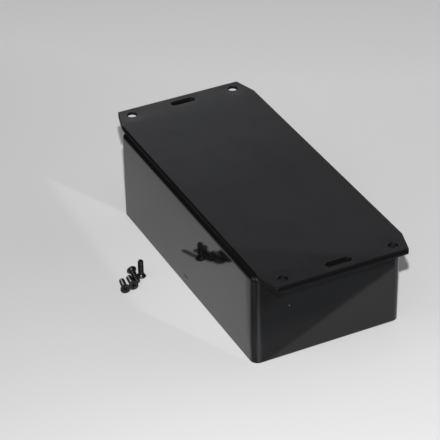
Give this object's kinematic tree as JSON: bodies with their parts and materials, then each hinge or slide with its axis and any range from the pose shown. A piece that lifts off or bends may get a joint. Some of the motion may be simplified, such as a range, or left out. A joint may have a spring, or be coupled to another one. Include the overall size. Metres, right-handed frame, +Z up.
{
  "type": "plastic project box",
  "caption": "Deep moulded plastic project box with a flat lift-off lid, a mounting ear at each end of the lid, and loose lid screws beside it.",
  "frame": {"origin": "middle of the case's underside, on the surface that the box stands on", "axes": "+Z up, +Y along the box's length, +X across its width; the loose screws lie on the -X side"},
  "size_m": [0.112, 0.1788, 0.052],
  "materials": {
    "case_plastic": "smooth moulded black, glossy",
    "lid_plastic": "smooth moulded black, glossy",
    "screw_steel": "blackened steel, slightly shiny"
  },
  "bodies": {
    "case": {"case_body": "case_plastic", "lid_screws": "screw_steel"},
    "lid": {"flanged_lid": "lid_plastic"}
  },
  "joints": [
    {"name": "lid_lift", "type": "slide", "parent": "case", "child": "lid", "axis": [0, 0, 1], "range_m": [0, 0.06]}
  ]
}
